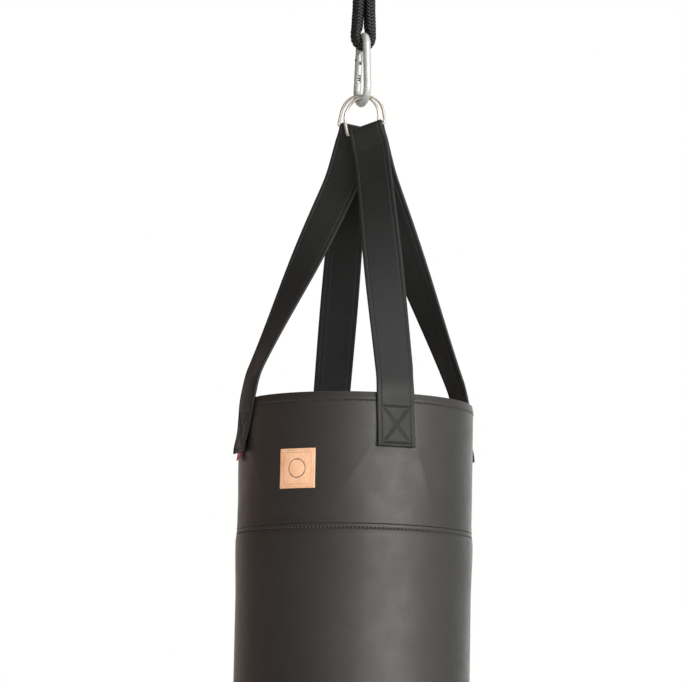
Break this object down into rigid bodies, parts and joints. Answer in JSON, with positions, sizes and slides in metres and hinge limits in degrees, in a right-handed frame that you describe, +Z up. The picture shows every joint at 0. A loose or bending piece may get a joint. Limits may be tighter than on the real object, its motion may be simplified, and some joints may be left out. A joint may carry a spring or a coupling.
{
  "type": "hanging punching bag",
  "caption": "Cylindrical leather heavy bag hung by sewn straps, D-rings and a spring hook from a doubled rope and a ceiling plate.",
  "frame": {"origin": "centre of the ceiling plate's upper face", "axes": "+Z up and out of the ceiling face, the bag hangs towards -Z; -Y is the side seen at the front, with the label patch to its left"},
  "size_m": [0.3037, 0.3055, 1.7],
  "materials": {
    "painted_steel": "satin black powder coat",
    "black_rope": "braided cord",
    "whipping_twine": "tight twine wrapping",
    "zinc_steel": "zinc plated, satin",
    "nickel_steel": "nickel plated, bright satin",
    "black_leather": "fine grain, satin",
    "tan_leather": "matt vegetable tan",
    "red_textile": "woven tape",
    "black_fabric": "woven",
    "zip_metal": "dark oxidised",
    "foam": "open cell foam",
    "canvas": "plain weave",
    "fill": "packed fibre"
  },
  "bodies": {
    "ceiling_fitting": {"ceiling_plate": "painted_steel", "ceiling_bail": "painted_steel"},
    "rope": {"rope_sling": "black_rope", "rope_seizing": "whipping_twine"},
    "carabiner": {"carabiner_body": "zinc_steel", "gate_hinge_rivet": "zinc_steel"},
    "gate": {"carabiner_gate": "zinc_steel", "gate_latch_pin": "zinc_steel", "gate_plunger": "zinc_steel", "gate_spring": "zinc_steel"},
    "front_ring": {"ring_front": "nickel_steel"},
    "rear_ring": {"ring_rear": "nickel_steel"},
    "slider": {"zip_slider": "zip_metal"},
    "pull": {"zip_pull": "zip_metal"},
    "bag": {"strap_front_right": "black_leather", "strap_left_back": "black_leather", "collar_panel": "black_leather", "body_panel": "black_leather", "bottom_panel": "black_leather", "collar_band": "black_fabric", "lid_front": "black_leather", "lid_rear": "black_leather", "zip_tape_front": "black_fabric", "zip_tape_rear": "black_fabric", "zip_teeth_front": "zip_metal", "zip_teeth_rear": "zip_metal", "zip_stop_closed": "zip_metal", "zip_stop_open": "zip_metal", "foam_cap": "foam", "foam_liner": "foam", "foam_base": "foam", "inner_sack": "canvas", "fill_core": "fill", "label_patch": "tan_leather", "side_tab": "red_textile"}
  },
  "joints": [
    {"name": "rope_swing", "type": "hinge", "parent": "ceiling_fitting", "child": "rope", "pos_m": [0, 0, -0.045], "axis": [0.3256, -0.9455, 0], "range_deg": [-30, 30]},
    {"name": "hook_swing", "type": "hinge", "parent": "rope", "child": "carabiner", "pos_m": [0, 0, -0.23], "axis": [0.9455, 0.3256, 0], "range_deg": [-30, 30]},
    {"name": "gate_hinge", "type": "hinge", "parent": "carabiner", "child": "gate", "pos_m": [-0.00509, 0.01479, -0.24491], "axis": [-0.9455, -0.3256, 0], "range_deg": [0, 25], "stiffness_Nm_per_rad": 0.05, "springref_deg": -28.65},
    {"name": "ring_swing", "type": "hinge", "parent": "carabiner", "child": "front_ring", "pos_m": [0, 0, -0.3042], "axis": [0.3256, -0.9455, 0], "range_deg": [-18, 18]},
    {"name": "bag_tilt", "type": "hinge", "parent": "front_ring", "child": "bag", "pos_m": [0.00632, -0.01002, -0.34056], "axis": [0.8803, -0.3975, 0.2588], "range_deg": [-5, 5]},
    {"name": "rear_ring_tilt", "type": "hinge", "parent": "bag", "child": "rear_ring", "pos_m": [-0.00614, 0.00969, -0.33839], "axis": [0.8803, -0.3975, -0.2588], "range_deg": [-5, 5]},
    {"name": "zip_slide", "type": "slide", "parent": "bag", "child": "slider", "axis": [1, 0, 0], "range_m": [-0.195, 0]},
    {"name": "pull_flip", "type": "hinge", "parent": "slider", "child": "pull", "pos_m": [0.095, 0, -0.71025], "axis": [0, 1, 0], "range_deg": [0, 165]}
  ],
  "couplings": [
    {"joint": "rear_ring_tilt", "follows": "bag_tilt", "ratio": -1}
  ]
}
